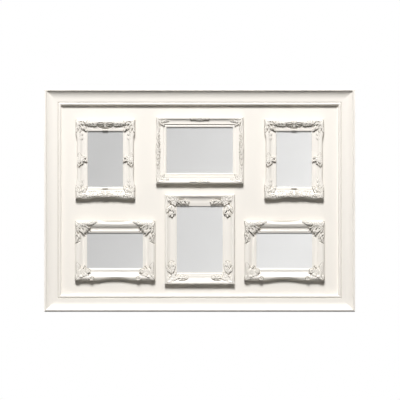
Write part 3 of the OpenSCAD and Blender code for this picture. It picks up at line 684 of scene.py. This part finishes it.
# How far each outline sweeps inwards along a side, in shares of the member
def garland_sweep(s, end):
    """Straight at the corners, then in by an S-curve, with small lobes at the middle."""
    corner, run, depth = 1.05, 0.6, 0.12
    lobe, lobed, lobe_depth = 0.24, 0.72, 0.02
    swept = np.clip((end - corner - np.abs(s)) / run, 0, 1)
    lobes = lobe_depth * np.abs(np.sin(np.pi * s / lobe)) * (np.abs(s) < lobed)
    return depth * swept * swept * (3 - 2 * swept) + lobes


def acanthus_sweep(s, end):
    """One shallow arch between the corner sprays of the long sides."""
    half, depth, long_end = 0.4 * end, 0.17, 2.6
    return depth * np.clip(1 - (s / half) ** 2, 0, 1) * (end > long_end)


def ribbon_sweep(s, end):
    """A slight swell outwards at the middle of every side."""
    half, swell = 0.75, 0.03
    return -swell * np.clip(1 - (np.abs(s) / half) ** 4, 0, 1)


def leafy_sweep(s, end):
    """Shallow lobes from the middle of a side to its end."""
    depth, lobes = 0.02, 4
    return depth * np.abs(np.sin(np.pi * np.clip(np.abs(s) / end, 0, 1) * lobes))


STYLES = {
    "garland": (GARLAND_SECTION, carve_garland, garland_sweep),
    "acanthus": (ACANTHUS_SECTION, carve_acanthus, acanthus_sweep),
    "ribbon": (RIBBON_SECTION, carve_ribbon, ribbon_sweep),
    "leafy": (LEAFY_SECTION, carve_leafy, leafy_sweep),
}
MEMBERS = {"garland": 32.0 * MM, "acanthus": 32.5 * MM, "ribbon": 27.75 * MM, "leafy": 31.75 * MM}
PLACE_STYLES = dict(zip(PLACES, ("garland", "acanthus", "ribbon", "leafy", "garland", "acanthus")))


def flat_ring(width, height, member, step):
    """A mitred ring in the XZ plane, cut into a fine even grid."""
    bm = bmesh.new()
    bmesh.ops.create_grid(bm, x_segments=1, y_segments=1, size=0.5)
    bmesh.ops.scale(bm, vec=(width, height, 1), verts=bm.verts)
    bmesh.ops.rotate(bm, matrix=Matrix.Rotation(math.pi / 2, 3, "X"), verts=bm.verts)
    bmesh.ops.inset_region(
        bm, faces=bm.faces[:], thickness=member, use_boundary=True, use_even_offset=True,
    )
    bm.faces.ensure_lookup_table()
    middle = [f for f in bm.faces if f.calc_center_median().length < member]
    bmesh.ops.delete(bm, geom=middle, context="FACES")
    for axis, length in ((0, width), (2, height)):
        edges = [e for e in bm.edges if e.is_boundary and along_axis(e, axis)]
        bmesh.ops.subdivide_edges(bm, edges=edges, cuts=round(length / step), use_grid_fill=True)
    edges = [e for e in bm.edges if not e.is_boundary]
    bmesh.ops.subdivide_edges(bm, edges=edges, cuts=round(member / step), use_grid_fill=True)
    return bm


def along_axis(edge, axis):
    """Whether an edge runs along an axis."""
    run = edge.verts[1].co - edge.verts[0].co
    return abs(run[axis]) > 0.99 * run.length


def rim(bm, near):
    """The boundary edges whose two ends pass the test near."""
    return [e for e in bm.edges if e.is_boundary and all(near(v.co) for v in e.verts)]


def drawn(bm, edges, place, painted_shade_share):
    """Extrudes a loop of edges to where place says, with so much painted shade, and returns the new loop.
    """
    hollow = bm.verts.layers.float["hollow"]
    grown = bmesh.ops.extrude_edge_only(bm, edges=edges)["geom"]
    for vert in grown:
        if isinstance(vert, bmesh.types.BMVert):
            vert.co = place(vert.co)
            vert[hollow] = painted_shade_share
    return [e for e in grown if isinstance(e, bmesh.types.BMEdge) and e.is_boundary]


def smooth_walls(bm, sharp):
    """Smooth shading, with sharp edges where two faces meet at more than the angle."""
    for face in bm.faces:
        face.smooth = True
    for edge in bm.edges:
        edge.smooth = not (len(edge.link_faces) == 2 and edge.calc_face_angle(0) > sharp)


def moulding(rail, out, settings):
    """One mitred length of the outer moulding: its section, drawn from mitre to mitre."""
    half = (CAD_BOX[1] - CAD_BOX[0]) / 2
    along = Vector((abs(out.z), 0, abs(out.x)))
    reach, run = abs(half.dot(out)), half.dot(along)
    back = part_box(rail)[1].y - settings.nail_stand
    bm = bmesh.new()
    hollow = bm.verts.layers.float.new("hollow")
    corners = []
    for place, height in section_points(RAIL_SECTION, MM):
        vert = bm.verts.new(out * (reach - place) - along * (run - place) + Vector((0, back - height, 0)))
        # The quirk gets painted shade, standing in for the bead's shadow
        vert[hollow] = settings.quirk_painted_shade * (QUIRK[0] * MM < place < QUIRK[1] * MM)
        corners.append(vert)
    loop = [bm.edges.new(pair) for pair in zip(corners, corners[1:] + corners[:1])]
    grown = bmesh.ops.extrude_edge_only(bm, edges=loop)["geom"]
    for vert in grown:
        if isinstance(vert, bmesh.types.BMVert):
            vert.co -= 2 * vert.co.dot(along) * along
    bmesh.ops.holes_fill(bm, edges=bm.edges[:])
    bmesh.ops.recalc_face_normals(bm, faces=bm.faces)
    smooth_walls(bm, MOULDING_CREASE)
    return piece_of(bm, f"{rail}_moulding")


def piece_of(bm, name):
    """The finished mesh as an object at the origin."""
    mesh = bpy.data.meshes.new(name)
    bm.to_mesh(mesh)
    bm.free()
    piece = bpy.data.objects.new(name, mesh)
    bpy.context.scene.collection.objects.link(piece)
    return piece


class Net:
    """The grid's points and the edges between them, over which values can be spread."""

    def __init__(self, bm):
        bm.verts.index_update()
        self.verts = bm.verts[:]
        self.ends = np.array([[v.index for v in e.verts] for e in bm.edges])
        self.links = np.bincount(self.ends.ravel(), minlength=len(self.verts))

    def spread(self, values, rounds):
        """Each round moves every value half way to the mean of its neighbours."""
        for _ in range(rounds):
            total = np.bincount(self.ends[:, 0], values[self.ends[:, 1]], len(values))
            total += np.bincount(self.ends[:, 1], values[self.ends[:, 0]], len(values))
            values = 0.5 * values + 0.5 * total / self.links
        return values


def hollows(net, relief, settings):
    """How far each point lies below the relief around it, near and wide, from 0 to 1."""
    near = net.spread(relief, NEAR_ROUNDS)
    wide = net.spread(near, settings.hollow_rounds - NEAR_ROUNDS)
    return np.clip(np.maximum((near - relief) / NARROW_DEPTH, (wide - relief) / WIDE_DEPTH), 0, 1)


def cast_frame(place, settings):
    """The carved casting of one small frame, at its own place, with its sides, rebate and back."""
    section, carve, sweep = STYLES[PLACE_STYLES[place]]
    low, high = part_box(f"{place}_frame")
    centre = (low + high) / 2
    back = high.y
    glass_low, glass_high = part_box(f"{place}_glass")
    window = opening_of(place)
    pocket = glass_high - glass_low + Vector((1, 0, 1)) * PANE_MARGIN
    rebate = glass_low.y
    width, height = outer_size(place, window)
    member = (width - window[0]) / 2
    bm = flat_ring(width, height, member, settings.step)
    carve_ring(bm, (width, height), member, back, settings, section, carve, sweep)
    inner = rim(bm, lambda v: abs(v.x) < window[0] / 2 + MM and abs(v.z) < window[1] / 2 + MM)
    kept = set(inner)
    outer = [e for e in bm.edges if e.is_boundary and e not in kept]
    straight = PLACE_STYLES[place] == "acanthus"
    half = Vector((width, 0, height)) / 2

    def foot_of(v):
        """Straight below the lip, or out on the rectangle where the lip is cut back in an arch."""
        if straight and abs(v.x) < half.x - NEAR_ENOUGH:
            return Vector((v.x, back, math.copysign(half.z, v.z)))
        return Vector((v.x, back, v.z))

    # The outer sides get painted shade, which darkens the shadow beside each frame
    waist = drawn(bm, outer, lambda v: v.lerp(foot_of(v), settings.waist), settings.side_painted_shade)
    foot = drawn(bm, waist, foot_of, settings.side_painted_shade)
    ledge = drawn(bm, inner, lambda v: Vector((v.x, rebate, v.z)), 0)
    grow = (pocket.x / window[0], pocket.z / window[1])
    wall = drawn(bm, ledge, lambda v: Vector((v.x * grow[0], rebate, v.z * grow[1])), 0)
    heel = drawn(bm, wall, lambda v: Vector((v.x, back, v.z)), 0)
    bmesh.ops.bridge_loops(bm, edges=foot + heel)
    bmesh.ops.recalc_face_normals(bm, faces=bm.faces)
    smooth_walls(bm, CASTING_CREASE)
    bmesh.ops.translate(bm, vec=(centre.x, 0, centre.z), verts=bm.verts)
    return piece_of(bm, f"{place}_casting")


def outer_size(place, window):
    """Width and height of a small frame, from its window's."""
    member = MEMBERS[PLACE_STYLES[place]]
    return window[0] + 2 * member, window[1] + 2 * member


def carve_ring(bm, size, member, back, settings, section, carve, sweep):
    """Lifts the flat ring to its section, then to its carving, and sweeps its outline in."""
    hollow = bm.verts.layers.float.new("hollow")
    net = Net(bm)
    co = np.array([v.co for v in net.verts])
    x, z = co[:, 0], co[:, 2]
    half_w, half_h = size[0] / 2, size[1] / 2
    a, b = (half_w - np.abs(x)) / member, (half_h - np.abs(z)) / member
    u = np.clip(np.minimum(a, b), 0, 1)
    base = section_height(section, u, member, settings.thickness)
    # Carvings stand on a ground that bridges the scoop, with a groove round them
    ground_line = settings.thickness * (GROUND_LEVEL - GROUND_FALL * u)
    ground = base + settings.bridge * np.maximum(ground_line - base, 0)
    carving = carve(a, b, x / member, z / member) * member * settings.relief
    carved = carving > 0
    top = np.where(carved, np.maximum(base, ground + carving), base)
    lower = np.where(z < 0, settings.lower_groove, 1)
    deep = net.spread(np.clip(carving / (FULL_RISE * member), 0, 1) ** 2, GROOVE_ROUNDS)
    near = np.clip(3 * deep, 0, 1)
    groove = settings.groove * lower * near
    sunk = np.minimum(carving, 0)
    fade = np.clip((1 - u) / WINDOW_FADE, 0, 1) * np.clip(u / LIP_FADE, 0, 1)
    lifted = base + np.where(carved, top - base, sunk - groove) * fade
    # The outline is swept in, less and less from the lip inwards
    flat = b <= a
    bite = np.where(
        flat, sweep(x / member, half_w / member), sweep(z / member, half_h / member)
    ) * np.clip(1 - u / SWEEP_REACH, 0, 1) * member
    new_x = np.where(flat, x, np.sign(x) * (np.abs(x) - bite))
    new_z = np.where(flat, np.sign(z) * (np.abs(z) - bite), z)
    # Painted shade lies in the carving's hollows and at its foot, where shadow falls
    foot = groove + near * np.minimum(ground - base, settings.foot_depth)
    painted_shade = hollows(net, np.where(carved, carving, sunk - foot), settings)
    for vert, px, pz, py, painted_shade_share in zip(net.verts, new_x, new_z, back - lifted, painted_shade):
        vert.co = (px, py, pz)
        vert[hollow] = painted_shade_share


def length_property(name, description, metres):
    return bpy.props.FloatProperty(
        name=name, description=description, default=metres, subtype="DISTANCE", unit="LENGTH",
    )


def angle_property(name, description, degrees):
    return bpy.props.FloatProperty(
        name=name, description=description, default=math.radians(degrees), subtype="ANGLE",
    )


def share_property(name, description, share):
    """A number from 0 to 1."""
    return bpy.props.FloatProperty(
        name=name, description=description, default=share, subtype="FACTOR", min=0, max=1,
    )


def level_property(name, description, level):
    """A brightness, 1 being full."""
    return bpy.props.FloatProperty(name=name, description=description, default=level, min=0)


def colour_property(name, description, colour):
    return bpy.props.FloatVectorProperty(
        name=name, description=description, default=colour, subtype="COLOR", size=3,
    )


class FinishSettings(bpy.types.PropertyGroup):
    """Paint, painted shade and the finishes of the bare materials"""

    cream: colour_property("Cream paint", "Colour of the moulding and the panel", (0.915, 0.872, 0.812))
    # Strength and colour of the painted shade in the hollows, standing in for the carvings' shadows
    painted_shade: share_property("Wash", "How strongly the wash shows in the hollows", 0.65)
    painted_shade_colour: colour_property("Wash colour", "Colour of the wash in the hollows", (0.19, 0.16, 0.1))
    roughness: share_property("Paint roughness", "Roughness of the satin paint", 0.46)
    board: colour_property("Board", "Colour of bare fibreboard", (0.36, 0.23, 0.13))
    bare_wood: colour_property("Bare wood", "Colour of the unpainted backs", (0.55, 0.42, 0.28))
    steel: colour_property("Steel", "Colour of the zinc plated fixings", (0.74, 0.74, 0.72))
    rubber: colour_property("Rubber", "Colour of the wall bumpers", (0.035, 0.035, 0.037))


class MouldingSettings(bpy.types.PropertyGroup):
    """The outer moulding"""

    # Painted shade in the quirk, standing in for the bead's shadow
    quirk_painted_shade: share_property(
        "Quirk wash", "How much of the wash lies in the quirk beside the bead", 0.5,
    )
    nail_stand: length_property(
        "Nail stand", "How far the corner nails stand out of the moulding's back", 0.05 * MM,
    )


class GlazingSettings(bpy.types.PropertyGroup):
    """The panes and the grey prints behind them"""

    glass_tint: colour_property("Glass tint", "Colour of the glass", (0.85, 0.855, 0.855))
    glass_alpha: share_property("Glass alpha", "How much the glass hides", 0.1)
    card_left: colour_property("Left card", "Grey of the prints at the left", (0.5535, 0.5515, 0.552))
    card_right: colour_property("Right card", "Grey of the prints at the right", (0.9245, 0.922, 0.919))
    card_reach: length_property(
        "Card reach", "How far from the middle the two greys of the prints lie", 0.35,
    )
    # The downward lightening is painted light that makes up for the key light falling off
    card_painted_light_slant: share_property(
        "Card slant", "How fast the prints lighten downwards, as a share of how fast across", 0.72,
    )


class CastingSettings(bpy.types.PropertyGroup):
    """The six carved castings"""

    step: length_property("Grid", "Spacing of the carved surface's grid", 0.66 * MM)
    thickness: length_property("Thickness", "Thickness of a small frame at its ridge", 13.5 * MM)
    relief: bpy.props.FloatProperty(
        name="Relief", description="Scale of the carving's height", min=0, max=2, default=0.75,
    )
    bridge: share_property("Bridge", "How far the carving stands out of the scoop", 0.85)
    groove: length_property("Groove", "Depth of the groove round every carving", 1.0 * MM)
    lower_groove: share_property(
        "Lower groove", "Share of the groove's depth below the middle of a frame", 0.5,
    )
    # The foot of a carving gets painted shade, standing in for the shadow where it meets the ground
    foot_depth: length_property(
        "Foot depth", "Depth at the foot of a carving from which the wash is full", 2.0 * MM,
    )
    # Painted shade on the outer sides, darkening the shadow they throw on the panel
    side_painted_shade: share_property("Side wash", "How much of the wash lies on the outer sides", 0.75)
    waist: share_property("Waist", "How far down an outer side its row of points lies", 0.3)
    hollow_rounds: bpy.props.IntProperty(
        name="Hollow width", description="How widely a hollow is felt, in grid steps",
        min=NEAR_ROUNDS, max=60, default=14,
    )


class StudioSettings(bpy.types.PropertyGroup):
    """The camera, the lights, the floor and the light from all round"""

    picture_width: length_property("Picture width", "Width of the view at the moulding's front", 1.0528)
    lens: bpy.props.FloatProperty(
        name="Lens", description="Focal length in millimetres", min=20, max=300, default=120,
    )
    key_height: angle_property("Key height", "Angle of the key light above the view", 48)
    key_side: angle_property("Key side", "Angle of the key light to the left", 4)
    light_distance: length_property("Light distance", "Distance of every light", 6.0)
    light_size: length_property("Light size", "Width of every light", 1.8)
    key_level: level_property("Key level", "Light on the panel from the key light", 0.945)
    rear_level: level_property("Rear level", "Light on the back from the light behind", 0.8)
    side_level: level_property("Side level", "Light on each side from the light beside it", 0.6)
    side_turn: angle_property(
        "Side turn", "Angle of the side lights from the view, a little behind", 104,
    )
    side_height: angle_property("Side height", "Angle of the side lights above the middle", 15)
    fill_level: level_property("Fill level", "Light from all round", 0.022)
    fill_colour: colour_property("Fill colour", "Colour of the light from all round", (1.0, 0.93, 0.3))
    floor_colour: colour_property("Floor colour", "Colour of the floor", (0.8, 0.8, 0.8))
    floor_bounce: share_property(
        "Floor bounce", "Share of the floor's light that it throws back up", 0.06,
    )
    floor_drop: length_property("Floor", "Floor below the middle of the frame", 0.9)


class FRAME_OT_moulding(bpy.types.Operator):
    """Models the four mitred rails of the moulding, and paints them and the backing panel"""

    bl_idname = "frame.moulding"
    bl_label = "Moulding and panel"

    def execute(self, context):
        settings = context.scene.frame_finish
        paint = cream_paint("cream_moulding", settings, settings.bare_wood, hollows=True)
        for rail, out in RAILS.items():
            piece = moulding(rail, out, context.scene.frame_moulding)
            piece.data.materials.append(paint)
            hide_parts(rail)
            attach(piece, "root")
        coat("backing_panel", cream_paint("cream_panel", settings, settings.board))
        return {"FINISHED"}


class FRAME_OT_cast_frames(bpy.types.Operator):
    """Models the six carved small frames"""

    bl_idname = "frame.cast_frames"
    bl_label = "Cast frames"

    def execute(self, context):
        finish = context.scene.frame_finish
        paint = cream_paint("cream_casting", finish, finish.cream, hollows=True)
        for place in PLACES:
            piece = cast_frame(place, context.scene.frame_casting)
            piece.data.materials.append(paint)
            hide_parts(f"{place}_frame")
            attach(piece, "root")
        return {"FINISHED"}


class FRAME_OT_glaze(bpy.types.Operator):
    """Finishes the panes, the prints and the backboards"""

    bl_idname = "frame.glaze"
    bl_label = "Glaze and back"

    def execute(self, context):
        settings = context.scene.frame_glazing
        glass = clear_glass("picture_glass", settings)
        card = print_card("photo_paper", settings)
        board = hardboard("backboard_brown", context.scene.frame_finish)
        for place in PLACES:
            coat(f"{place}_glass", glass)
            coat(f"{place}_photo", card)
            coat(f"{place}_backboard", board)
        return {"FINISHED"}


class FRAME_OT_fixings(bpy.types.Operator):
    """Finishes the screws, nails, turn buttons, hangers and bumpers"""

    bl_idname = "frame.fixings"
    bl_label = "Fixings"

    def execute(self, context):
        settings = context.scene.frame_finish
        steel = zinc_steel("bright_steel", settings)
        slots = {row["node"]: row["material_slot"] for row in frame["record"]["subparts"]}
        for node, slot in slots.items():
            if slot == "bright_steel":
                coat(node, steel)
        coat("wall_bumpers", black_rubber("bumper_rubber", settings))
        return {"FINISHED"}


class FRAME_OT_stage(bpy.types.Operator):
    """Sets up the floor, the lights, the world and the camera"""

    bl_idname = "frame.stage"
    bl_label = "Stage"

    def execute(self, context):
        settings = context.scene.frame_studio
        scene = context.scene
        scene.view_settings.view_transform = "Standard"
        lay_floor(settings)
        hang_light("key", settings, settings.key_side, settings.key_height, settings.key_level)
        hang_light("rear", settings, math.pi - settings.key_side, settings.key_height, settings.rear_level)
        for name, turn in (("left", settings.side_turn), ("right", -settings.side_turn)):
            hang_light(name, settings, turn, settings.side_height, settings.side_level)
        light_world(settings)
        scene.camera = set_camera(settings)
        return {"FINISHED"}


def light_world(settings):
    """An even fill, with a white background for the rays that see it."""
    world = bpy.data.worlds.new("studio")
    bpy.context.scene.world = world
    nodes = Nodes(world)
    seen = nodes.seen()
    colour = nodes.mix(seen, rgba(settings.fill_colour), rgba((1, 1, 1)))
    level = seen * (1 - settings.fill_level) + settings.fill_level
    light = nodes.node("ShaderNodeBackground", None, {"Color": colour, "Strength": level})
    nodes.node("ShaderNodeOutputWorld", None, {"Surface": light}, out=None)


def lay_floor(settings):
    """A pale floor that keeps shadows near the frame and turns white further out."""
    bm = bmesh.new()
    bmesh.ops.create_circle(bm, cap_ends=True, segments=96, radius=FLOOR_RADIUS)
    bmesh.ops.translate(bm, vec=(0, 0, -settings.floor_drop), verts=bm.verts)
    floor = piece_of(bm, "floor")
    material = bpy.data.materials.new("pale_floor")
    nodes = Nodes(material)
    reach = nodes.node("ShaderNodeVectorMath", {"operation": "LENGTH"}, {0: nodes.place()}, out="Value")
    white = nodes.seen() * (nodes.rise(reach, *FLOOR_FADE) * (1 - FLOOR_WHITE) + FLOOR_WHITE)
    bounced = nodes.node("ShaderNodeLightPath", out="Is Diffuse Ray")
    dim = shade(settings.floor_colour, settings.floor_bounce)
    tone = nodes.mix(bounced, rgba(settings.floor_colour), dim)
    matt = nodes.node("ShaderNodeBsdfDiffuse", None, {"Color": tone})
    glow = nodes.node("ShaderNodeEmission")
    both = nodes.node("ShaderNodeMixShader", None, {0: white, 1: matt, 2: glow})
    nodes.node("ShaderNodeOutputMaterial", None, {"Surface": both}, out=None)
    floor.data.materials.append(material)


def hang_light(name, settings, turn, height, level):
    """A large soft light, turned to the left from the view, with so much light on the face towards it."""
    away = settings.light_distance
    flat = math.cos(height)
    aim = Vector((-math.sin(turn) * flat, -math.cos(turn) * flat, math.sin(height)))
    faced = max(abs(aim.x), abs(aim.y))
    lamp = bpy.data.lights.new(name, "AREA")
    lamp.shape = "DISK"
    lamp.size = settings.light_size
    lamp.energy = level * math.pi ** 2 * away ** 2 / faced
    light = bpy.data.objects.new(name, lamp)
    light.location = aim * away
    light.rotation_euler = aim.to_track_quat("Z", "Y").to_euler()
    bpy.context.scene.collection.objects.link(light)


def set_camera(settings):
    """Square on to the frame, far enough away that the picture width fills the view."""
    lens = bpy.data.cameras.new("camera")
    lens.sensor_width = 36.0
    lens.lens = settings.lens
    lens.clip_end = 50
    away = settings.picture_width * settings.lens / lens.sensor_width
    camera = bpy.data.objects.new("camera", lens)
    camera.location = (CAMERA_SHIFT[0], CAD_BOX[0][1] - away, CAMERA_SHIFT[1])
    camera.rotation_euler = (math.pi / 2, 0, 0)
    bpy.context.scene.collection.objects.link(camera)
    return camera


class FRAME_PT_panel(bpy.types.Panel):
    """Lists the steps that finish the frame"""

    bl_label = "Picture Frame"
    bl_idname = "FRAME_PT_panel"
    bl_space_type = "VIEW_3D"
    bl_region_type = "UI"
    bl_category = "Picture Frame"

    def draw(self, context):
        for step in STEPS:
            self.layout.operator(step.bl_idname)


SETTINGS = {
    "frame_finish": FinishSettings,
    "frame_moulding": MouldingSettings,
    "frame_glazing": GlazingSettings,
    "frame_casting": CastingSettings,
    "frame_studio": StudioSettings,
}
STEPS = (
    FRAME_OT_moulding, FRAME_OT_cast_frames, FRAME_OT_glaze, FRAME_OT_fixings, FRAME_OT_stage,
)


def register():
    for group in SETTINGS.values():
        bpy.utils.register_class(group)
    for name, group in SETTINGS.items():
        setattr(bpy.types.Scene, name, bpy.props.PointerProperty(type=group))
    for step in STEPS:
        bpy.utils.register_class(step)
    bpy.utils.register_class(FRAME_PT_panel)


def unregister():
    bpy.utils.unregister_class(FRAME_PT_panel)
    for step in reversed(STEPS):
        bpy.utils.unregister_class(step)
    for name, group in SETTINGS.items():
        delattr(bpy.types.Scene, name)
        bpy.utils.unregister_class(group)


def main():
    register()
    bpy.ops.frame.moulding()
    bpy.ops.frame.cast_frames()
    bpy.ops.frame.glaze()
    bpy.ops.frame.fixings()
    bpy.ops.frame.stage()


if __name__ == "__main__":
    main()
